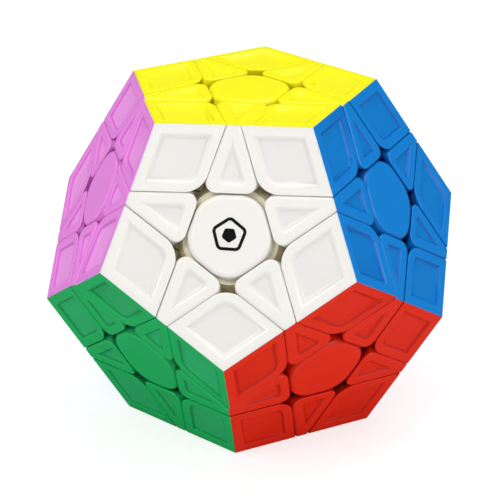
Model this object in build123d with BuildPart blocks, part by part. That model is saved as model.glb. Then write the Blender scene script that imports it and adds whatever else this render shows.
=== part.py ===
"""Twelve-sided twisty puzzle: a dodecahedron of centres, edges and corners round a sprung core.

A face's layer turns about that face's axis, and all twelve axes meet at the origin. Outside the foot
sphere the cuts between layers are planes square to those axes, and inside it they are cones about them.
The puzzle stands on its cream face, with +Z out of the yellow face and the white face towards -Y.
"""

import os
from math import acos, atan, cos, degrees, radians, sin, sqrt, tan

from build123d import *

# Driving dimensions, in millimetres and degrees
edge_length = 30.0  # one side of a face
cut_width = 13.1  # from a side of a face to the cut beyond it
gap = 0.3  # running clearance between two layers
wall = 1.8  # of the coloured shells

panel_border = 1.9  # rim round the sunk panel of a tile
edge_base_border = 1.8  # the same rim on an edge tile's side towards the cap
panel_depth = 0.5
panel_slope = 50.0
tile_rounding = 0.4  # along the cuts
seam_rounding = 0.15  # where two colours meet
edge_upright_radius = 2.6
corner_upright_radius = 3.2
corner_panel_radius = 1.6
edge_panel_radius = 0.6
cap_upright_radius = 4.6
cap_rounding = 0.8

foot_outer = 30.0  # sphere between the feet and the shells that hold them in
foot_inner = 25.0
foot_angle = 48.0  # cone that cuts the feet, from the axis of its layer
foot_angle_gap = 0.66
edge_post = (8.4, 6.8)  # across the edge and along it
edge_post_top = 33.0
corner_post_radius = 2.2
corner_post_top = 36.0
post_clearance = 0.05

core_radius = 9.0
arm_radius = 3.6
arm_top = 14.6
stem_radius = 5.4
stem_bottom = 14.9
stem_floor = 2.0
pocket_radius = 3.9
cap_thickness = 2.4
plug_radius = 3.85
plug_wall = 0.9
plug_bottom = 29.0

screw_radius = 1.2
screw_end = 6.0
screw_clearance = 0.4
screw_head_radius = 2.4
screw_head_height = 1.6
driver_slot = (3.0, 0.7, 0.9)
washer_radius = 3.4
washer_thickness = 0.5
washer_bottom = 26.2
spring_radius = 2.6
spring_wire = 0.5
spring_turns = 7
spring_end_gap = 0.05

# The regular dodecahedron that these make
face_angle = degrees(acos(1 / sqrt(5)))  # between the axes of two neighbouring faces
edge_angle = face_angle / 2  # from a face's axis to the middle of its side
corner_angle = degrees(atan(3 - sqrt(5)))  # from a face's axis to its corner
apothem = edge_length / (2 * tan(radians(36)))
face_distance = apothem / tan(radians(edge_angle))
cut_apothem = apothem - cut_width  # from the middle of a face to a cut
cut_distance = cut_apothem * sin(radians(face_angle)) + face_distance * cos(radians(face_angle))
draft = 90 - face_angle  # lean of a cut from the axis of a face that it crosses
gap_on_face = gap / 2 / sin(radians(face_angle))

colours = [
    "yellow", "white", "blue", "lime", "orange", "violet",
    "cream", "grey", "sky", "green", "red", "pink",
]
turning_faces = ["white", "lime", "sky"]  # no two of them share a side
settled_turn = 0.5  # how far the white layer has been left turned, anticlockwise from outside


def direction(polar, azimuth=0.0):
    """Unit vector at an angle from +Z, leaning towards an azimuth from +X."""
    lean, turn = radians(polar), radians(azimuth)
    return Vector(sin(lean) * cos(turn), sin(lean) * sin(turn), cos(lean))


def cut(azimuth, distance):
    """Plane square to the axis of the neighbouring face at this azimuth."""
    axis = direction(face_angle, azimuth)
    return Plane(origin=axis * distance, z_dir=axis)


def seam(azimuth):
    """Plane through the origin and the side of the face at this azimuth, facing inwards."""
    return Plane(origin=(0, 0, 0), z_dir=direction(edge_angle - 90, azimuth))


def along(polar, azimuth=0.0):
    """Plane through the origin, square to this direction, with its X leaning the same way."""
    return Plane(
        origin=(0, 0, 0),
        x_dir=direction(polar + 90, azimuth),
        z_dir=direction(polar, azimuth),
    )


def lies_on(plane):
    """Test for edges whose two ends and middle all lie on a plane."""
    def test(edge):
        points = [edge @ 0, edge @ 0.5, edge @ 1]
        return all(abs(plane.to_local_coords(point).Z) < 0.01 for point in points)
    return test


def meet(first, second):
    """Where lines square to azimuths 0 and 72, at these distances from the middle, cross."""
    return (first, (second - first * cos(radians(72))) / sin(radians(72)))


# Every master piece is made with its face's axis along +Z and a neighbouring face towards +X.
top = Plane.XY.offset(face_distance)
outside_cut = cut_distance + gap / 2
inside_cut = cut_distance - gap / 2
shell_inside = foot_outer + gap / 2

def shell_block(azimuths, ends, offset):
    """Block under a face: beyond the cuts at azimuths, short of those at ends, drawn in by offset."""
    width = 3 * edge_length
    with BuildPart() as block:
        with Locations((0, 0, face_distance - offset)):
            Box(width, width, face_distance, align=(Align.CENTER, Align.CENTER, Align.MAX))
        for azimuth in azimuths:
            split(bisect_by=cut(azimuth, outside_cut + offset), keep=Keep.TOP)
            split(bisect_by=seam(azimuth), keep=Keep.TOP)
        for azimuth in ends:
            split(bisect_by=cut(azimuth, inside_cut - offset), keep=Keep.BOTTOM)
        Sphere(shell_inside + offset, mode=Mode.SUBTRACT)
    return block.part


def uprights(shell, first, second):
    """Edges of a shell where two of its cuts meet."""
    return shell.edges().filter_by(lies_on(first)).filter_by(lies_on(second))


def round_tile(shell, azimuths):
    """Round a shell's outer rim: widely along its cuts, finely where two colours meet."""
    rim = shell.edges().filter_by(lies_on(top))
    sides = [edge for azimuth in azimuths for edge in rim.filter_by(lies_on(seam(azimuth)))]
    fillet([edge for edge in rim if edge not in sides], tile_rounding)
    rim = shell.edges().filter_by(lies_on(top))
    sides = [edge for azimuth in azimuths for edge in rim.filter_by(lies_on(seam(azimuth)))]
    fillet(sides, seam_rounding)


# Edge shell: one coloured half of an edge piece, with its sunk panel
with BuildPart() as edge_socket:
    with BuildSketch(along(edge_angle).offset(foot_inner)):
        Rectangle(edge_post[0] + 2 * post_clearance, edge_post[1] + 2 * post_clearance)
    extrude(amount=edge_post_top + post_clearance - foot_inner)

panel_base = cut_apothem + gap_on_face + edge_base_border
panel_side = cut_apothem - gap_on_face - panel_border
panel_apex = panel_side / cos(radians(72))
panel_half_base = (panel_side - panel_base * cos(radians(72))) / sin(radians(72))
with BuildPart() as edge_shell:
    add(shell_block([0], [72, -72], 0))
    for azimuth in (72, -72):
        fillet(uprights(edge_shell, cut(0, outside_cut), cut(azimuth, inside_cut)), edge_upright_radius)
    round_tile(edge_shell, [0])
    with BuildSketch(top) as edge_panel:
        with BuildLine():
            Polyline(
                (panel_apex, 0), (panel_base, panel_half_base), (panel_base, -panel_half_base), close=True
            )
        make_face()
        fillet(edge_panel.vertices().group_by(Axis.X)[0], edge_panel_radius)
    extrude(amount=-panel_depth, taper=panel_slope, mode=Mode.SUBTRACT)
    add(shell_block([0], [72, -72], wall), mode=Mode.SUBTRACT)
    add(edge_socket.part, mode=Mode.SUBTRACT)

# Corner shell: one coloured third of a corner piece, with its sunk panel
with BuildPart() as corner_socket:
    with BuildSketch(along(corner_angle, 36).offset(foot_inner)):
        Circle(corner_post_radius + post_clearance)
    extrude(amount=corner_post_top + post_clearance - foot_inner)

panel_near = cut_apothem + gap_on_face + panel_border
panel_far = apothem - panel_border
with BuildPart() as corner_shell:
    add(shell_block([0, 72], [], 0))
    fillet(uprights(corner_shell, cut(0, outside_cut), cut(72, outside_cut)), corner_upright_radius)
    round_tile(corner_shell, [0, 72])
    with BuildSketch(top) as corner_panel:
        with BuildLine():
            Polyline(
                meet(panel_near, panel_near),
                meet(panel_far, panel_near),
                meet(panel_far, panel_far),
                meet(panel_near, panel_far),
                close=True,
            )
        make_face()
        tip = Vector(*meet(panel_near, panel_near), face_distance)
        fillet(corner_panel.vertices().sort_by_distance(tip)[0], corner_panel_radius)
    extrude(amount=-panel_depth, taper=panel_slope, mode=Mode.SUBTRACT)
    add(shell_block([0, 72], [], wall), mode=Mode.SUBTRACT)
    add(corner_socket.part, mode=Mode.SUBTRACT)

# Feet: sectors of a sphere's shell, which the cones of their own layers cut out of it
cone_height = 2 * foot_outer


def foot_block(own, others):
    """What a foot keeps of the foot shell, inside its own layers' cones and outside the others'."""
    own_radius = cone_height * tan(radians(foot_angle - foot_angle_gap / 2))
    other_radius = cone_height * tan(radians(foot_angle + foot_angle_gap / 2))
    bottom = (Align.CENTER, Align.CENTER, Align.MIN)
    with BuildPart() as block:
        Sphere(foot_outer - gap / 2)
        for axis in own:
            with Locations(Plane(origin=(0, 0, 0), z_dir=axis)):
                Cone(0, own_radius, cone_height, align=bottom, mode=Mode.INTERSECT)
        for axis in others:
            with Locations(Plane(origin=(0, 0, 0), z_dir=axis)):
                Cone(0, other_radius, cone_height, align=bottom, mode=Mode.SUBTRACT)
        Sphere(foot_inner + gap / 2, mode=Mode.SUBTRACT)
    return block.part


face_axis = direction(0)
with BuildPart() as edge_foot:
    add(
        foot_block(
            [face_axis, direction(face_angle, 0)], [direction(face_angle, 72), direction(face_angle, -72)]
        )
    )
    with BuildSketch(along(edge_angle).offset(foot_inner + gap)):
        Rectangle(*edge_post)
    extrude(amount=edge_post_top - foot_inner - gap)

with BuildPart() as corner_foot:
    add(foot_block([face_axis, direction(face_angle, 0), direction(face_angle, 72)], []))
    with BuildSketch(along(corner_angle, 36).offset(foot_inner + gap)):
        Circle(corner_post_radius)
    extrude(amount=corner_post_top - foot_inner - gap)

# Centre: a stem that turns on the core's arm, under a five-sided body with a pocket for the screw
cap_apothem = cut_apothem - gap_on_face
body_top = face_distance - cap_thickness
cap_flare = cap_thickness * tan(radians(draft))
with BuildPart() as centre:
    with BuildSketch(Plane.XY.offset(body_top)) as centre_outline:
        RegularPolygon(cap_apothem + cap_flare, 5, major_radius=False, rotation=36)
        fillet(centre_outline.vertices(), cap_upright_radius + cap_flare)
    extrude(amount=foot_inner - body_top, taper=-draft)
    Sphere(shell_inside, mode=Mode.SUBTRACT)
    with BuildSketch(Plane.XY.offset(stem_bottom)):
        Circle(stem_radius)
    extrude(amount=body_top - stem_bottom)
    with BuildSketch(Plane.XY.offset(body_top)):
        Circle(pocket_radius)
    extrude(amount=stem_bottom + stem_floor - body_top, mode=Mode.SUBTRACT)
    with BuildSketch(Plane.XY.offset(stem_bottom)):
        Circle(screw_radius + screw_clearance)
    extrude(amount=stem_floor, mode=Mode.SUBTRACT)

# Cap: the visible middle of a face, with a plug in the centre's pocket
with BuildPart() as cap:
    with BuildSketch(top) as cap_outline:
        RegularPolygon(cap_apothem, 5, major_radius=False, rotation=36)
        fillet(cap_outline.vertices(), cap_upright_radius)
    extrude(amount=-cap_thickness, taper=-draft)
    fillet(cap.edges().filter_by(lies_on(top)), cap_rounding)
    with BuildSketch(Plane.XY.offset(body_top)):
        Circle(plug_radius)
        Circle(plug_radius - plug_wall, mode=Mode.SUBTRACT)
    extrude(amount=plug_bottom - body_top)

# Screw, washer and spring of one arm
with BuildPart() as screw:
    with BuildSketch(Plane.XY.offset(screw_end)):
        Circle(screw_radius)
    extrude(amount=washer_bottom + washer_thickness - screw_end)
    chamfer(screw.faces().sort_by(Axis.Z)[0].edges(), screw_radius / 2)
    with BuildSketch(Plane.XY.offset(washer_bottom + washer_thickness)):
        Circle(screw_head_radius)
    extrude(amount=screw_head_height)
    fillet(screw.faces().sort_by(Axis.Z)[-1].edges(), screw_head_height / 2)
    with BuildSketch(Plane.XY.offset(washer_bottom + washer_thickness + screw_head_height)):
        Rectangle(driver_slot[0], driver_slot[1])
        Rectangle(driver_slot[1], driver_slot[0])
    extrude(amount=-driver_slot[2], mode=Mode.SUBTRACT)

with BuildPart() as washer:
    with BuildSketch(Plane.XY.offset(washer_bottom)):
        Circle(washer_radius)
        Circle(screw_radius + post_clearance, mode=Mode.SUBTRACT)
    extrude(amount=washer_thickness)

spring_bottom = stem_bottom + stem_floor + spring_wire / 2 + spring_end_gap
spring_height = washer_bottom - spring_wire / 2 - spring_end_gap - spring_bottom
with BuildPart() as spring:
    with BuildLine() as coil:
        Helix(spring_height / spring_turns, spring_height, spring_radius, center=(0, 0, spring_bottom))
    with BuildSketch(Plane(origin=coil.line @ 0, z_dir=coil.line % 0)):
        Circle(spring_wire / 2)
    sweep()

# The twelve faces and how they meet
upper = [direction(0)] + [direction(face_angle, 72 * number - 90) for number in range(5)]
axes = upper + [axis * -1 for axis in upper]
faces = dict(zip(colours, axes))


def neighbours(face):
    """The five faces that share a side with this one."""
    return [other for other in colours if other != face and faces[face].dot(faces[other]) > 0]


def frame(face, beside):
    """Frame of a face, with its axis as Z and the neighbouring face towards X."""
    across = faces[beside] - faces[face] * faces[face].dot(faces[beside])
    return Plane(origin=(0, 0, 0), x_dir=across, z_dir=faces[face])


def third(face, beside):
    """The face that shares a corner with these two, anticlockwise from the second about the first."""
    onward = faces[face].cross(faces[beside])
    shared = [other for other in neighbours(face) if other in neighbours(beside)]
    return max(shared, key=lambda other: faces[other].dot(onward))


def body_of(*touched):
    """The body that holds a piece on these faces: a turning layer, or the rest."""
    return next((face + "_layer" for face in touched if face in turning_faces), "fixed")


def settled(place, body):
    """Frame of a piece as its body stands, with the white layer left slightly turned."""
    if body != "white_layer":
        return place
    axis = Axis((0, 0, 0), faces["white"])
    x_dir, z_dir = (way.rotate(axis, settled_turn) for way in (place.x_dir, place.z_dir))
    return Plane(origin=(0, 0, 0), x_dir=x_dir, z_dir=z_dir)


def write(name, pieces):
    """Write a node with a copy of each master piece in its frame."""
    with BuildPart() as node:
        for solid, place in pieces:
            with Locations(place):
                add(solid)
    node.part.label = name
    export_step(node.part, f"parts/{name}.step")


os.makedirs("parts", exist_ok=True)
tiles = {}
feet = {}
for face in colours:
    for beside in neighbours(face):
        edge = sorted([face, beside])
        corner = sorted([face, beside, third(face, beside)])
        for touched, shell, foot in ((edge, edge_shell, edge_foot), (corner, corner_shell, corner_foot)):
            body = body_of(*touched)
            place = settled(frame(face, beside), body)
            tiles.setdefault((body, face), []).append((shell.part, place))
            if face == touched[0]:
                feet.setdefault(body, []).append((foot.part, place))

for (body, face), pieces in tiles.items():
    write(f"{body}_{face}_shells", pieces)
for body, pieces in feet.items():
    write(f"{body}_feet", pieces)

own_frames = {face: settled(frame(face, neighbours(face)[0]), body_of(face)) for face in colours}
for face, place in own_frames.items():
    write(f"{face}_centre", [(centre.part, place)])
    write(f"{face}_cap", [(cap.part, place)])
for name, master in (("screws", screw), ("washers", washer), ("springs", spring)):
    write(name, [(master.part, place) for place in own_frames.values()])

# Core: a ball with an arm to each face, drilled for its screw
with BuildPart() as core:
    Sphere(core_radius)
    for place in own_frames.values():
        with BuildSketch(place):
            Circle(arm_radius)
        extrude(amount=arm_top)
    for place in own_frames.values():
        with BuildSketch(place.offset(screw_end)):
            Circle(screw_radius)
        extrude(amount=arm_top - screw_end, mode=Mode.SUBTRACT)
core.part.label = "core"
export_step(core.part, "parts/core.step")
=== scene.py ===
"""Looks of a twelve-sided twisty puzzle: its moulded shells, caps and plastics, round its frame."""

import math
import random

import bmesh
import bpy
from mathutils import Matrix, Quaternion, Vector


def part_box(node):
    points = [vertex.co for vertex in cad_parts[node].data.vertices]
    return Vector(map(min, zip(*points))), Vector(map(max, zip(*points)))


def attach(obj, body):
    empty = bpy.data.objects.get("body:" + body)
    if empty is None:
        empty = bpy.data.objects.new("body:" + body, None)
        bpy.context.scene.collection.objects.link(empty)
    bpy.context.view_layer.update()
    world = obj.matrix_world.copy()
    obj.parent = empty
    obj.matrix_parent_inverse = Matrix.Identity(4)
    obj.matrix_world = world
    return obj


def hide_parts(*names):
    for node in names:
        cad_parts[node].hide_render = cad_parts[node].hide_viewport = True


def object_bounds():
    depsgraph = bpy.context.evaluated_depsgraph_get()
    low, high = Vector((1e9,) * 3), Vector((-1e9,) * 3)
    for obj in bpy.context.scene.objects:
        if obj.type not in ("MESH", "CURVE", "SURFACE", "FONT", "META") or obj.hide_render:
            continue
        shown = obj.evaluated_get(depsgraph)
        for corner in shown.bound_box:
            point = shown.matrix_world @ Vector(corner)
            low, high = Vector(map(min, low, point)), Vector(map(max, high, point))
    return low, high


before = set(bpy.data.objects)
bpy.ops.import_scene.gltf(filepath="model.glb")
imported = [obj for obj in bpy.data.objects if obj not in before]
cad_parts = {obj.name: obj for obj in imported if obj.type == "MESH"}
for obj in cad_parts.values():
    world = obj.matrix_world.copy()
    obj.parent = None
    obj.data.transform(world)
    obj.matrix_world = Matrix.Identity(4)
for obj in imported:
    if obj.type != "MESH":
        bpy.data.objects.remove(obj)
cad_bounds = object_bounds()

# Sizes in millimetres and degrees. Masters are modelled in millimetres, with their face's axis
# along +Z.
MM = 0.001
face_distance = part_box("yellow_cap")[1].z / MM
face_angle = math.degrees(math.acos(1 / math.sqrt(5)))
edge_angle = face_angle / 2
corner_angle = math.degrees(math.atan(3 - math.sqrt(5)))
apothem = face_distance * math.tan(math.radians(edge_angle))
side_distance = face_distance / math.cos(math.radians(edge_angle))
cut_width = 13.1
gap = 0.14
cut_apothem = apothem - cut_width
cut_distance = cut_apothem * math.sin(math.radians(face_angle)) + face_distance / math.sqrt(5)
outside_cut = cut_distance + gap / 2
inside_cut = cut_distance - gap / 2
gap_on_face = gap / 2 / math.sin(math.radians(face_angle))

wall = 1.8
shell_inside = 30.15  # radius of the sphere that parts the shells from their feet
panel_border = 1.9
edge_base_border = 1.8  # the rim of an edge tile beside the cap
panel_depth = 0.6
panel_slope = 50.0  # of a panel's walls, from upright
tile_rounding = 0.4
seam_rounding = 0.1
panel_rounding = 0.24
edge_panel_radius = 0.6  # of a panel's corners, seen from above
corner_panel_radius = 1.5
panel_corner_reach = 1.5  # how far from a corner its upright may stand
edge_upright_radius = 2.6
corner_upright_radius = 3.2
cap_thickness = 2.4
cap_gap = 0.04  # beyond the cut, on the face
cap_rounding = 0.8
cap_upright_radius = 3.9
cap_flare = 0.4  # how much wider the cap is at its foot: less than the cut, so that it can lift
relief_depth = 1.1  # below this an edge shell leans back further, clear of a lifted centre
relief_turn = 10
print_radius = 3.6
print_stroke = 0.6
print_turn = 20
print_corner = 0.22  # rounding of the mark's corners, as a share of its radius
dot_share = 0.42  # size of the dot inside the ring
dot_turn = 56
ink_thickness = 0.012
block_size = 60  # a starting cube, bigger than any piece
overshoot = 1  # how far a cutting shape reaches past what it cuts
play_turn = 0.5  # how far a loose piece may turn on its foot
play_shift = 0.05  # and how far it may shift
touching = 0.02  # how near a plane counts as on it
beside_panel = 0.05  # how far past a panel's line counts as at the panel
fold_angle = 12
smooth_angle = 40

colours = [
    "yellow", "white", "blue", "lime", "orange", "violet",
    "cream", "grey", "sky", "green", "red", "pink",
]
turning_faces = ["white", "lime", "sky"]
settled_turn = 0.5  # how far the white layer is left turned, anticlockwise seen from outside


def direction(polar, azimuth=0.0):
    """Unit vector at an angle from +Z, leaning towards an azimuth from +X."""
    lean, turn = math.radians(polar), math.radians(azimuth)
    flat = math.sin(lean)
    return Vector((flat * math.cos(turn), flat * math.sin(turn), math.cos(lean)))


# ---------------------------------------------------------------- modelling by hand

def open_edit(piece):
    """Make the piece the only selected object and go into edit mode."""
    bpy.ops.object.select_all(action="DESELECT")
    piece.select_set(True)
    bpy.context.view_layer.objects.active = piece
    bpy.ops.object.mode_set(mode="EDIT")


def close_edit():
    bpy.ops.object.mode_set(mode="OBJECT")


def pick_edges(piece, test):
    """In edit mode, select just the edges that pass the test."""
    bpy.ops.mesh.select_mode(type="EDGE")
    bpy.ops.mesh.select_all(action="DESELECT")
    mesh = bmesh.from_edit_mesh(piece.data)
    for edge in mesh.edges:
        edge.select_set(test(edge))
    bmesh.update_edit_mesh(piece.data)


def pick_faces(piece, test):
    """In edit mode, select just the faces that pass the test."""
    bpy.ops.mesh.select_mode(type="FACE")
    bpy.ops.mesh.select_all(action="DESELECT")
    mesh = bmesh.from_edit_mesh(piece.data)
    for face in mesh.faces:
        face.select_set(test(face))
    bmesh.update_edit_mesh(piece.data)


def on_plane(edge, point, normal):
    return all(abs((vertex.co - point).dot(normal)) < touching for vertex in edge.verts)


def middle_of(edge):
    return (edge.verts[0].co + edge.verts[1].co) / 2


def rises(edge):
    """Whether an edge leads up rather than along a face."""
    return abs((edge.verts[0].co - edge.verts[1].co).normalized().z) > 0.3


def is_fold(edge):
    """Whether the two faces beside an edge meet at a real angle."""
    return len(edge.link_faces) == 2 and edge.calc_face_angle(0) > math.radians(fold_angle)


def bevel(piece, test, width, segments):
    """Round the edges that pass the test."""
    open_edit(piece)
    pick_edges(piece, test)
    bpy.ops.mesh.bevel(
        offset=width, offset_type="OFFSET", segments=segments, profile=0.5, clamp_overlap=False
    )
    close_edit()


def trim(piece, planes):
    """Cut a piece off at planes, each a direction and a distance, keeping the near side."""
    open_edit(piece)
    for normal, distance in planes:
        bpy.ops.mesh.select_all(action="SELECT")
        bpy.ops.mesh.bisect(
            plane_co=normal * distance,
            plane_no=normal,
            use_fill=True,
            clear_outer=True,
            threshold=0.00001,
        )
    close_edit()


def block(name, middle, planes):
    """A cube trimmed by planes."""
    bpy.ops.object.select_all(action="DESELECT")
    bpy.ops.mesh.primitive_cube_add(size=block_size, location=middle)
    piece = bpy.context.object
    piece.name = name
    bpy.ops.object.transform_apply(location=True, rotation=True, scale=True)
    trim(piece, planes)
    return piece


def ball(name, radius):
    bpy.ops.object.select_all(action="DESELECT")
    bpy.ops.mesh.primitive_uv_sphere_add(
        segments=128, ring_count=64, radius=radius, location=(0, 0, 0)
    )
    piece = bpy.context.object
    piece.name = name
    return piece


def carve(piece, cutter):
    """Cut one piece out of another and throw the cutter away."""
    bpy.ops.object.select_all(action="DESELECT")
    bpy.context.view_layer.objects.active = piece
    piece.select_set(True)
    cut = piece.modifiers.new("cut", "BOOLEAN")
    cut.operation = "DIFFERENCE"
    cut.solver = "EXACT"
    cut.object = cutter
    bpy.ops.object.modifier_apply(modifier="cut")
    bpy.data.objects.remove(cutter)


def smooth(piece):
    """Smooth the roundings and keep the flats flat."""
    bpy.ops.object.select_all(action="DESELECT")
    bpy.context.view_layer.objects.active = piece
    piece.select_set(True)
    bpy.ops.object.shade_smooth_by_angle(angle=math.radians(smooth_angle))
    flats = piece.modifiers.new("flats", "WEIGHTED_NORMAL")
    flats.keep_sharp = True
    flats.weight = 100
    bpy.ops.object.modifier_apply(modifier="flats")


# ---------------------------------------------------------------- the tiles

up = Vector((0, 0, 1))
top_point = up * face_distance


def seam_normal(azimuth):
    """Normal of the plane through the origin and a side, pointing away from the face."""
    return -direction(edge_angle - 90, azimuth)


def shell_planes(azimuths, ends, offset):
    """The planes that bound a shell, drawn in by an offset, without its seams."""
    planes = [(up, face_distance - offset)]
    for azimuth in azimuths:
        planes.append((-direction(face_angle, azimuth), -(outside_cut + offset)))
    for azimuth in ends:
        planes.append((direction(face_angle, azimuth), inside_cut - offset))
    return planes


def panel_planes(lines):
    """The planes round a sunk panel, from lines: azimuth, distance and which way is out."""
    lean = math.radians(panel_slope)
    planes = [(-up, -(face_distance - panel_depth)), (up, face_distance + overshoot)]
    for azimuth, distance, outward in lines:
        across = direction(90, azimuth) * outward
        normal = across * math.cos(lean) - up * math.sin(lean)
        on_line = direction(90, azimuth) * distance + top_point
        planes.append((normal, normal.dot(on_line)))
    return planes


def upright(edge, first, second):
    """Whether an edge is where two planes meet."""
    return all(
        abs(vertex.co.dot(normal) - distance) < touching
        for normal, distance in (first, second)
        for vertex in edge.verts
    )


def finish_shell(shell, azimuths, ends, axis, panel_lines):
    """Part a shell from the foot's sphere, round its rims, cut it at its seams and hollow it."""
    carve(shell, ball("foot_space", shell_inside))

    def at_panel(edge):
        return all(
            (vertex.co.dot(direction(90, azimuth)) - distance) * outward < beside_panel
            for azimuth, distance, outward in panel_lines
            for vertex in edge.verts
        )

    def at_height(edge, height):
        return on_plane(edge, up * height, up) and is_fold(edge)

    def at_outline(edge):
        return at_height(edge, face_distance) and not at_panel(edge)

    def at_panel_fold(edge):
        heights = (face_distance, face_distance - panel_depth)
        return at_panel(edge) and any(at_height(edge, height) for height in heights)

    bevel(shell, at_outline, tile_rounding, segments=5)
    bevel(shell, at_panel_fold, panel_rounding, segments=3)
    trim(shell, [(seam_normal(azimuth), 0) for azimuth in azimuths])
    blunt = side_distance - seam_rounding
    trim(shell, [(direction(edge_angle, azimuth), blunt) for azimuth in azimuths])
    hollow = block("hollow", axis * face_distance, shell_planes(azimuths, ends, wall))
    trim(hollow, [(seam_normal(azimuth), overshoot) for azimuth in azimuths])
    carve(hollow, ball("hollow_floor", shell_inside + wall))
    carve(shell, hollow)
    smooth(shell)


def make_edge_shell():
    """Coloured half of an edge piece."""
    axis = direction(edge_angle)
    planes = shell_planes([0], [72, -72], 0) + [(-axis, -(shell_inside - overshoot))]
    shell = block("edge_shell", axis * face_distance, planes)
    inner = (-direction(face_angle), -outside_cut)
    for azimuth in (72, -72):
        end = (direction(face_angle, azimuth), inside_cut)
        bevel(shell, lambda edge: upright(edge, inner, end), edge_upright_radius, segments=8)
    lean_back = -direction(face_angle - relief_turn)
    cut = direction(face_angle)
    height = face_distance - relief_depth
    reach = (outside_cut - height * cut.z) / cut.x
    trim(shell, [(lean_back, lean_back.dot(Vector((reach, 0, height))))])
    slant = cut_apothem - gap_on_face - panel_border
    base = cut_apothem + gap_on_face + edge_base_border
    lines = [(0, base, -1), (72, slant, 1), (-72, slant, 1)]
    panel = block("edge_panel", top_point + direction(90) * base, panel_planes(lines))

    def at_base(edge):
        return min(vertex.co.x for vertex in edge.verts) < base + panel_corner_reach

    bevel(panel, lambda edge: rises(edge) and at_base(edge), edge_panel_radius, segments=4)
    carve(shell, panel)
    finish_shell(shell, [0], [72, -72], axis, lines)
    return shell


def make_corner_shell():
    """Coloured third of a corner piece."""
    axis = direction(corner_angle, 36)
    planes = shell_planes([0, 72], [], 0) + [(-axis, -(shell_inside - overshoot))]
    shell = block("corner_shell", axis * face_distance, planes)
    cuts = [(-direction(face_angle, azimuth), -outside_cut) for azimuth in (0, 72)]
    bevel(shell, lambda edge: upright(edge, *cuts), corner_upright_radius, segments=10)
    near = cut_apothem + gap_on_face + panel_border
    far = apothem - panel_border
    lines = [(0, near, -1), (0, far, 1), (72, near, -1), (72, far, 1)]
    panel = block("corner_panel", top_point + direction(90, 36) * near, panel_planes(lines))
    tip = direction(90, 36) * (near / math.cos(math.radians(36)))

    def at_tip(edge):
        return (middle_of(edge) - tip).xy.length < panel_corner_reach

    bevel(panel, lambda edge: rises(edge) and at_tip(edge), corner_panel_radius, segments=6)
    carve(shell, panel)
    finish_shell(shell, [0, 72], [], axis, lines)
    return shell


def make_cap():
    """Cap in the middle of a face, a little wider at its foot."""
    cap_apothem = cut_apothem - cap_gap
    bpy.ops.object.select_all(action="DESELECT")
    bpy.ops.mesh.primitive_cylinder_add(
        vertices=5,
        radius=cap_apothem / math.cos(math.radians(36)),
        depth=cap_thickness,
        location=(0, 0, face_distance - cap_thickness / 2),
        rotation=(0, 0, math.radians(-54)),
    )
    cap = bpy.context.object
    cap.name = "cap"
    bpy.ops.object.transform_apply(location=True, rotation=True, scale=True)
    bevel(cap, rises, cap_upright_radius, segments=14)
    open_edit(cap)
    pick_faces(cap, lambda face: face.normal.z < -0.9)
    spread = (cap_apothem + cap_flare) / cap_apothem
    foot = top_point - up * cap_thickness
    bpy.ops.transform.resize(value=(spread, spread, 1), center_override=foot)
    close_edit()
    bevel(cap, lambda edge: on_plane(edge, top_point, up), cap_rounding, segments=5)
    smooth(cap)
    return cap


def make_print():
    """Printed mark of the white cap: a five-sided ring round a dot, a hair above the plastic."""
    ring = (print_radius, print_turn, print_stroke)
    dot = (print_radius * dot_share, dot_turn, None)
    parts = []
    for radius, turn, stroke in (ring, dot):
        bpy.ops.object.select_all(action="DESELECT")
        bpy.ops.mesh.primitive_circle_add(
            vertices=5, radius=radius, fill_type="NGON", location=top_point
        )
        part = bpy.context.object
        bpy.ops.object.transform_apply(location=True, rotation=True, scale=True)
        open_edit(part)
        bpy.ops.mesh.select_mode(type="VERT")
        bpy.ops.mesh.select_all(action="SELECT")
        bpy.ops.mesh.bevel(
            offset=radius * print_corner, segments=5, affect="VERTICES", clamp_overlap=False
        )
        bpy.ops.transform.rotate(
            value=math.radians(turn), orient_axis="Z", center_override=top_point
        )
        if stroke:
            bpy.ops.mesh.select_all(action="SELECT")
            bpy.ops.mesh.inset(thickness=stroke)
            bpy.ops.mesh.delete(type="FACE")
        bpy.ops.mesh.select_all(action="SELECT")
        bpy.ops.mesh.extrude_region_move(
            TRANSFORM_OT_translate={"value": up * ink_thickness}
        )
        bpy.ops.mesh.select_all(action="SELECT")
        bpy.ops.mesh.normals_make_consistent(inside=False)
        close_edit()
        parts.append(part)
    for part in parts:
        part.select_set(True)
    bpy.ops.object.join()
    mark = bpy.context.view_layer.objects.active
    mark.name = "print"
    return mark


# ---------------------------------------------------------------- the faces and their copies

upper = [direction(0)] + [direction(face_angle, 72 * number - 90) for number in range(5)]
axes = dict(zip(colours, upper + [-axis for axis in upper]))


def neighbours(face):
    """The five faces that share a side with this one."""
    return [other for other in colours if other != face and axes[face].dot(axes[other]) > 0]


def third(face, beside):
    """The face that shares a corner with these two, anticlockwise from the second."""
    turn = axes[face].cross(axes[beside])
    shared = [other for other in neighbours(face) if other in neighbours(beside)]
    return next(other for other in shared if axes[other].dot(turn) > 0)


def placing(face, beside):
    """Matrix from a master's frame to the puzzle's, with a neighbouring face towards its X."""
    across = (axes[beside] - axes[face] * axes[face].dot(axes[beside])).normalized()
    columns = Matrix((across, axes[face].cross(across), axes[face])).transposed()
    return Matrix.Scale(MM, 4) @ columns.to_4x4()


def settled(matrix, body):
    """Matrix of a piece as its body stands, with the white layer left slightly turned."""
    if body in ("white_layer", "white_middle"):
        return Matrix.Rotation(math.radians(settled_turn), 4, axes["white"]) @ matrix
    return matrix


def body_of(*touched):
    """The first part of the name of the body that holds a piece on these faces."""
    return next((face + "_layer" for face in touched if face in turning_faces), "fixed")


chance = random.Random(12)
play = {}


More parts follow.
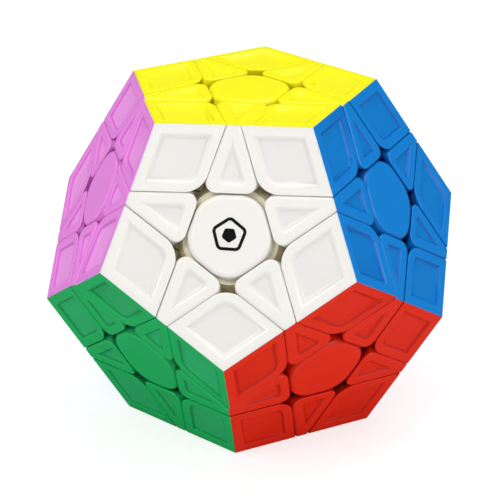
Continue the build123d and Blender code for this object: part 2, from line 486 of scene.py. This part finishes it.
def looseness(*touched):
    """Matrix of the slight turn and shift that a loose piece has settled with."""
    key = tuple(sorted(touched))
    if key not in play:
        outward = sum((axes[face] for face in key), Vector()).normalized()
        shift = Vector([chance.uniform(-1, 1) for _ in range(3)]) * play_shift * MM
        shift -= outward * outward.dot(shift)
        angle = math.radians(chance.uniform(-play_turn, play_turn))
        play[key] = Matrix.Translation(shift) @ Matrix.Rotation(angle, 4, outward)
    return play[key]


def place_copies(name, placed):
    """Copies of masters, each with its own mesh, joined as one object at the origin."""
    bpy.ops.object.select_all(action="DESELECT")
    for master, matrix in placed:
        copy = master.copy()
        copy.data = master.data.copy()
        copy.data.transform(matrix)
        bpy.context.scene.collection.objects.link(copy)
        copy.select_set(True)
        bpy.context.view_layer.objects.active = copy
    if len(placed) > 1:
        bpy.ops.object.join()
    piece = bpy.context.view_layer.objects.active
    piece.name = name
    piece.data.name = name
    return piece


masters = {
    "edge": make_edge_shell(),
    "corner": make_corner_shell(),
    "cap": make_cap(),
    "print": make_print(),
}
groups = {}
for face in colours:
    for beside in neighbours(face):
        edge = (face, beside)
        corner = (face, beside, third(face, beside))
        for master, touched in (("edge", edge), ("corner", corner)):
            matrix = settled(looseness(*touched) @ placing(face, beside), body_of(*touched))
            groups.setdefault((body_of(*touched), face), []).append((masters[master], matrix))

tiles = {}
for (body, face), placed in groups.items():
    node = f"{body}_{face}_shells"
    piece = place_copies(f"{body}_{face}_tiles", placed)
    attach(piece, body if body != "fixed" else "fixed_pieces")
    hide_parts(node)
    tiles.setdefault(face, []).append(piece)
for face in colours:
    matrix = settled(placing(face, neighbours(face)[0]), face + "_middle")
    piece = place_copies(face + "_face_cap", [(masters["cap"], matrix)])
    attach(piece, face + "_middle")
    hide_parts(face + "_cap")
    tiles[face].append(piece)
matrix = settled(placing("white", "yellow"), "white_middle")
mark = place_copies("white_cap_print", [(masters["print"], matrix)])
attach(mark, "white_middle")
for master in masters.values():
    bpy.data.objects.remove(master)


# ---------------------------------------------------------------- shader groups

def new_group(name, inputs, outputs):
    """Empty shader group with named sockets: (name, type, value) in, (name, type) out."""
    group = bpy.data.node_groups.new(name, "ShaderNodeTree")
    for socket_name, kind, value in inputs:
        socket = group.interface.new_socket(
            socket_name, in_out="INPUT", socket_type="NodeSocket" + kind
        )
        socket.default_value = value
    for socket_name, kind in outputs:
        group.interface.new_socket(
            socket_name, in_out="OUTPUT", socket_type="NodeSocket" + kind
        )
    return group, group.nodes.new("NodeGroupInput"), group.nodes.new("NodeGroupOutput")


def maths(group, operation, first, second=None, clamp=False):
    """Math node on sockets or numbers, giving its result's socket."""
    node = group.nodes.new("ShaderNodeMath")
    node.operation = operation
    node.use_clamp = clamp
    for socket, value in zip(node.inputs, (first, second)):
        if isinstance(value, (int, float)):
            socket.default_value = value
        elif value is not None:
            group.links.new(value, socket)
    return node.outputs[0]


def ramp(group, value, low, high):
    """Smooth step of a value from 0 at low to 1 at high."""
    node = group.nodes.new("ShaderNodeMapRange")
    node.interpolation_type = "SMOOTHSTEP"
    node.inputs["From Min"].default_value = low
    node.inputs["From Max"].default_value = high
    group.links.new(value, node.inputs["Value"])
    return node.outputs["Result"]


def blend_colours(group, factor, first, second):
    node = group.nodes.new("ShaderNodeMix")
    node.data_type = "RGBA"
    group.links.new(factor, node.inputs["Factor"])
    group.links.new(first, node.inputs[6])
    group.links.new(second, node.inputs[7])
    return node.outputs[2]


def noise(group, coordinates, scale, detail, roughness=0.5):
    node = group.nodes.new("ShaderNodeTexNoise")
    node.inputs["Detail"].default_value = detail
    node.inputs["Roughness"].default_value = roughness
    if isinstance(scale, (int, float)):
        node.inputs["Scale"].default_value = scale
    else:
        group.links.new(scale, node.inputs["Scale"])
    group.links.new(coordinates, node.inputs["Vector"])
    return node.outputs["Fac"]


def make_depth_group():
    """How far a point lies under the nearest face of the solid, in millimetres."""
    group, _, outputs = new_group("depth_under_face", [], [("Depth", "Float")])
    place = group.nodes.new("ShaderNodeTexCoord").outputs["Object"]
    furthest = None
    for axis in upper:
        dot = group.nodes.new("ShaderNodeVectorMath")
        dot.operation = "DOT_PRODUCT"
        dot.inputs[1].default_value = axis / MM
        group.links.new(place, dot.inputs[0])
        height = maths(group, "ABSOLUTE", dot.outputs["Value"])
        furthest = height if furthest is None else maths(group, "MAXIMUM", furthest, height)
    depth = maths(group, "SUBTRACT", face_distance, furthest)
    group.links.new(depth, outputs.inputs["Depth"])
    return group


def make_grain_group():
    """Height of a moulded surface: fine spark-eroded grain over a slow ripple."""
    group, inputs, outputs = new_group(
        "mould_grain",
        [
            ("Grain Scale", "Float", 3000.0),
            ("Grain Height", "Float", 0.3),
            ("Ripple Scale", "Float", 90.0),
        ],
        [("Height", "Float")],
    )
    place = group.nodes.new("ShaderNodeTexCoord").outputs["Object"]
    grain = noise(group, place, inputs.outputs["Grain Scale"], 2)
    ripple = noise(group, place, inputs.outputs["Ripple Scale"], 1)
    fine = maths(group, "MULTIPLY", grain, inputs.outputs["Grain Height"])
    group.links.new(maths(group, "ADD", fine, ripple), outputs.inputs["Height"])
    return group


def make_handling_group():
    """Roughness that varies with faint smears and hair-fine scratches from handling."""
    group, inputs, outputs = new_group(
        "handling_marks",
        [("Roughness", "Float", 0.3), ("Smears", "Float", 0.08), ("Scratches", "Float", 0.1)],
        [("Roughness", "Float")],
    )
    place = group.nodes.new("ShaderNodeTexCoord").outputs["Object"]
    smear = maths(group, "SUBTRACT", noise(group, place, 110.0, 3, 0.6), 0.5)
    smear = maths(group, "MULTIPLY", smear, inputs.outputs["Smears"])
    total = maths(group, "ADD", inputs.outputs["Roughness"], smear)
    for turn in (0.4, 1.7):  # the two ways that the scratches run
        mapping = group.nodes.new("ShaderNodeMapping")
        mapping.inputs["Rotation"].default_value = (turn, turn / 2, turn * 2)
        mapping.inputs["Scale"].default_value = (1.0, 26.0, 26.0)
        group.links.new(place, mapping.inputs["Vector"])
        scratch = ramp(group, noise(group, mapping.outputs["Vector"], 60.0, 2), 0.68, 0.74)
        scratch = maths(group, "MULTIPLY", scratch, inputs.outputs["Scratches"])
        total = maths(group, "ADD", total, scratch)
    group.links.new(total, outputs.inputs["Roughness"])
    return group


def make_tone_group():
    """Colour of a moulding: uneven pigment, painted light on the panels, and painted shade on panel
    walls and deep in the cuts, where the white face's is lighter, a painted glow of bounced light.
    """
    group, inputs, outputs = new_group(
        "pigment_and_painted_shading",
        [
            ("Depth", "Float", 0.0),
            ("Color", "Color", (0.8, 0.8, 0.8, 1)),
            ("Panel Color With Painted Light", "Color", (0.8, 0.8, 0.8, 1)),
            ("Painted Shading Color", "Color", (0.4, 0.4, 0.4, 1)),
            ("Line", "Float", 0.5),
            ("Unevenness", "Float", 0.06),
        ],
        [("Color", "Color")],
    )
    place = group.nodes.new("ShaderNodeTexCoord").outputs["Object"]
    pigment = maths(group, "SUBTRACT", noise(group, place, 160.0, 4, 0.6), 0.5)
    shift = maths(group, "MULTIPLY", pigment, inputs.outputs["Unevenness"])
    depth = inputs.outputs["Depth"]
    in_panel = ramp(group, depth, panel_depth * 0.5, panel_depth * 0.9)
    # Painted shade deep in the cuts, stronger with depth; on the white face the colour is lighter,
    # a painted glow of bounced light
    in_cut = ramp(group, depth, panel_depth * 1.2, panel_depth * 5)
    # Painted shade on a panel's walls, between the rim and the panel floor, drawn as dark outlines
    # round the panels
    below_rim = ramp(group, depth, panel_depth * 0.15, panel_depth * 0.5)
    above_panel = ramp(group, depth, panel_depth * 0.98, panel_depth * 0.6)
    on_wall = maths(group, "MULTIPLY", below_rim, above_panel)
    on_wall = maths(group, "MULTIPLY", on_wall, inputs.outputs["Line"])
    cut_shading_and_pigment = maths(group, "ADD", in_cut, shift, clamp=True)
    painted_shading = inputs.outputs["Painted Shading Color"]
    # The panels' colour stands in for light: a little darker than the rims as painted shade, paler
    # on violet and green as a painted sheen
    tone = blend_colours(group, in_panel, inputs.outputs["Color"], inputs.outputs["Panel Color With Painted Light"])
    tone = blend_colours(group, on_wall, tone, painted_shading)
    tone = blend_colours(group, cut_shading_and_pigment, tone, painted_shading)
    group.links.new(tone, outputs.inputs["Color"])
    return group


depth_group = make_depth_group()
grain_group = make_grain_group()
handling_group = make_handling_group()
tone_group = make_tone_group()


def use_group(material, group, values):
    """A shared group placed in a material, with its inputs linked to sockets or set to values."""
    node = material.node_tree.nodes.new("ShaderNodeGroup")
    node.node_tree = group
    for name, value in values.items():
        if isinstance(value, bpy.types.NodeSocket):
            material.node_tree.links.new(value, node.inputs[name])
        else:
            node.inputs[name].default_value = value
    return node


relief_height = 0.04 * MM


def new_material(name, grain_height, roughness, smears, scratches, bump):
    """Material with a Principled BSDF whose bump and roughness come from the shared groups."""
    material = bpy.data.materials.new(name)
    material.use_nodes = True
    nodes, links = material.node_tree.nodes, material.node_tree.links
    shader = nodes["Principled BSDF"]
    grain = use_group(material, grain_group, {"Grain Height": grain_height})
    relief = nodes.new("ShaderNodeBump")
    relief.inputs["Strength"].default_value = bump
    relief.inputs["Distance"].default_value = relief_height
    links.new(grain.outputs["Height"], relief.inputs["Height"])
    links.new(relief.outputs["Normal"], shader.inputs["Normal"])
    wear = {"Roughness": roughness, "Smears": smears, "Scratches": scratches}
    marks = use_group(material, handling_group, wear)
    links.new(marks.outputs["Roughness"], shader.inputs["Roughness"])
    return material, shader


def moulded_plastic(name, colour, panel, painted_shading, wall_shade_share):
    """Coloured-through moulded plastic of one face, its colour carrying painted shade and painted
    light from the tone group.
    """
    material, shader = new_material(
        name, grain_height=0.3, roughness=0.3, smears=0.08, scratches=0.05, bump=0.35
    )
    depth = use_group(material, depth_group, {})
    values = {
        "Depth": depth.outputs["Depth"],
        "Color": (*colour, 1),
        "Panel Color With Painted Light": (*panel, 1),
        "Painted Shading Color": (*painted_shading, 1),
        "Line": wall_shade_share,
    }
    tone = use_group(material, tone_group, values)
    material.node_tree.links.new(tone.outputs["Color"], shader.inputs["Base Color"])
    shader.inputs["IOR"].default_value = 1.53
    shader.inputs["Specular IOR Level"].default_value = 0.45
    shader.inputs["Subsurface Weight"].default_value = 0.3
    shader.inputs["Subsurface Radius"].default_value = (1.0, 0.8, 0.6)
    shader.inputs["Subsurface Scale"].default_value = 0.0012
    return material


# Painted shade on the panel walls: the share of the painted shading colour that they take
painted_wall_shade = 0.5  # how much of the deep tone a panel's wall takes; the white face's takes none

# Each face: its rims, its sunk panels with painted light, and the painted shading down in its cuts
# (painted shade, lighter on white as a painted glow of bounced light)
face_colours_and_shading = {
    "yellow": ((1.0, 0.94, 0.01), (0.99, 0.92, 0.015), (0.95, 0.84, 0.0)),
    "white": ((0.8, 0.785, 0.745), (0.76, 0.745, 0.72), (0.98, 0.89, 0.66)),
    "blue": ((0.0, 0.22, 0.66), (0.0, 0.21, 0.63), (0.0, 0.03, 0.32)),
    "lime": ((0.42, 0.78, 0.06), (0.39, 0.74, 0.05), (0.16, 0.4, 0.01)),
    "orange": ((0.98, 0.26, 0.01), (0.94, 0.23, 0.01), (0.6, 0.1, 0.0)),
    "violet": ((0.88, 0.28, 0.82), (0.92, 0.36, 0.85), (0.5, 0.03, 0.45)),
    "cream": ((0.93, 0.84, 0.5), (0.9, 0.81, 0.47), (0.65, 0.5, 0.2)),
    "grey": ((0.26, 0.27, 0.28), (0.24, 0.25, 0.26), (0.1, 0.1, 0.11)),
    "sky": ((0.2, 0.62, 0.86), (0.18, 0.58, 0.82), (0.04, 0.28, 0.5)),
    "green": ((0.005, 0.46, 0.12), (0.02, 0.46, 0.15), (0.0, 0.13, 0.03)),
    "red": ((0.78, 0.02, 0.002), (0.76, 0.018, 0.001), (0.36, 0.0, 0.0)),
    "pink": ((0.92, 0.34, 0.46), (0.88, 0.31, 0.43), (0.55, 0.1, 0.18)),
}


def paint(piece, material):
    piece.data.materials.clear()
    piece.data.materials.append(material)


def ink(name):
    """Black pad-printing ink, a little thin in places."""
    material, shader = new_material(
        name, grain_height=0.2, roughness=0.35, smears=0.1, scratches=0.0, bump=0.3
    )
    shader.inputs["Specular IOR Level"].default_value = 0.2
    depth = use_group(material, depth_group, {})
    values = {
        "Depth": depth.outputs["Depth"],
        "Color": (0.003, 0.003, 0.003, 1),
        "Panel Color With Painted Light": (0.02, 0.02, 0.02, 1),
    }
    tone = use_group(material, tone_group, values)
    material.node_tree.links.new(tone.outputs["Color"], shader.inputs["Base Color"])
    return material


paint(mark, ink("print_ink"))
for face, (rim, panel, painted_shading) in face_colours_and_shading.items():
    wall_shade_share = 0.0 if face == "white" else painted_wall_shade
    plastic = moulded_plastic(face + "_plastic", rim, panel, painted_shading, wall_shade_share)
    for piece in tiles[face]:
        paint(piece, plastic)
    paint(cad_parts[face + "_centre"], plastic)

inner_plastic, shader = new_material(
    "inner_plastic", grain_height=0.5, roughness=0.45, smears=0.1, scratches=0.0, bump=0.5
)
shader.inputs["Base Color"].default_value = (0.95, 0.88, 0.7, 1)
screw_steel, shader = new_material(
    "screw_steel", grain_height=0.6, roughness=0.35, smears=0.15, scratches=0.2, bump=0.5
)
shader.inputs["Base Color"].default_value = (0.62, 0.62, 0.64, 1)
shader.inputs["Metallic"].default_value = 1.0
spring_steel, shader = new_material(
    "spring_steel", grain_height=0.2, roughness=0.28, smears=0.1, scratches=0.2, bump=0.3
)
shader.inputs["Base Color"].default_value = (0.5, 0.5, 0.52, 1)
shader.inputs["Metallic"].default_value = 1.0
for name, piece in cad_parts.items():
    if name == "core" or name.endswith("_feet"):
        paint(piece, inner_plastic)
    elif name in ("screws", "washers"):
        paint(piece, screw_steel)
    elif name == "springs":
        paint(piece, spring_steel)


# ---------------------------------------------------------------- floor, lights and camera

floor_size = 6  # metres
paper_white = (0.92, 0.92, 0.92, 1)
paper_reflected = (0.08, 0.08, 0.08, 1)  # as glossy plastic shows it
paper_seen = (0.4, 0.4, 0.4, 1)  # with a glow added, so that the backdrop stays white and even
paper_glow = (0.7, 0.7, 0.7, 1)


def make_floor():
    """Plain pale paper under the puzzle."""
    bpy.ops.object.select_all(action="DESELECT")
    bpy.ops.mesh.primitive_plane_add(size=floor_size, location=(0, 0, cad_bounds[0][2]))
    floor = bpy.context.object
    floor.name = "floor"
    material = bpy.data.materials.new("floor_paper")
    material.use_nodes = True
    nodes, links = material.node_tree.nodes, material.node_tree.links
    shader = nodes["Principled BSDF"]
    shader.inputs["Roughness"].default_value = 0.9
    rays = nodes.new("ShaderNodeLightPath")
    dim = nodes.new("ShaderNodeMix")
    dim.data_type = "RGBA"
    dim.inputs[6].default_value = paper_white
    dim.inputs[7].default_value = paper_reflected
    links.new(rays.outputs["Is Glossy Ray"], dim.inputs["Factor"])
    seen = nodes.new("ShaderNodeMix")
    seen.data_type = "RGBA"
    seen.inputs[7].default_value = paper_seen
    links.new(rays.outputs["Is Camera Ray"], seen.inputs["Factor"])
    links.new(dim.outputs[2], seen.inputs[6])
    links.new(seen.outputs[2], shader.inputs["Base Color"])
    shader.inputs["Emission Color"].default_value = paper_glow
    links.new(rays.outputs["Is Camera Ray"], shader.inputs["Emission Strength"])
    floor.data.materials.append(material)


def add_softbox(name, location, size, power):
    """Square area light that faces the puzzle."""
    light = bpy.data.lights.new(name, "AREA")
    light.shape = "SQUARE"
    light.size = size
    light.energy = power
    lamp = bpy.data.objects.new(name, light)
    lamp.location = location
    lamp.rotation_euler = Vector(location).to_track_quat("Z", "Y").to_euler()
    bpy.context.scene.collection.objects.link(lamp)


room_light = 0.56
room_reflected = 0.03


def make_room():
    """Even white light from all round, kept out of the plastics' reflections."""
    world = bpy.data.worlds.new("studio")
    world.use_nodes = True
    nodes, links = world.node_tree.nodes, world.node_tree.links
    room = nodes["Background"]
    room.inputs["Color"].default_value = (1, 1, 1, 1)
    room.inputs["Strength"].default_value = room_light
    dim_room = nodes.new("ShaderNodeBackground")
    dim_room.inputs["Strength"].default_value = room_reflected
    rays = nodes.new("ShaderNodeLightPath")
    either = nodes.new("ShaderNodeMixShader")
    links.new(rays.outputs["Is Glossy Ray"], either.inputs["Fac"])
    links.new(room.outputs["Background"], either.inputs[1])
    links.new(dim_room.outputs["Background"], either.inputs[2])
    links.new(either.outputs["Shader"], nodes["World Output"].inputs["Surface"])
    bpy.context.scene.world = world


make_floor()
add_softbox("key_light", location=(-0.35, -0.55, 0.75), size=0.4, power=3.6)
add_softbox("fill_light", location=(0.7, -0.5, 0.35), size=0.6, power=1.9)
add_softbox("top_light", location=(0.1, 0.2, 0.9), size=0.6, power=2.8)
make_room()
bpy.context.scene.view_settings.view_transform = "Standard"

camera_place = Vector((60.63, -449.72, 195.89)) * MM
camera_aim = Vector((-0.06, -0.69, -0.69)) * MM
camera_roll = -0.64
camera_lens = 178.07

camera_data = bpy.data.cameras.new("camera")
camera_data.sensor_width = 36.0
camera_data.lens = camera_lens
camera_data.clip_start = 0.05
camera_data.clip_end = 20.0
camera = bpy.data.objects.new("camera", camera_data)
camera.location = camera_place
level = (camera_place - camera_aim).to_track_quat("Z", "Y")
roll = Quaternion((0, 0, 1), math.radians(camera_roll))
camera.rotation_euler = (level @ roll).to_euler()
bpy.context.scene.collection.objects.link(camera)
bpy.context.scene.camera = camera
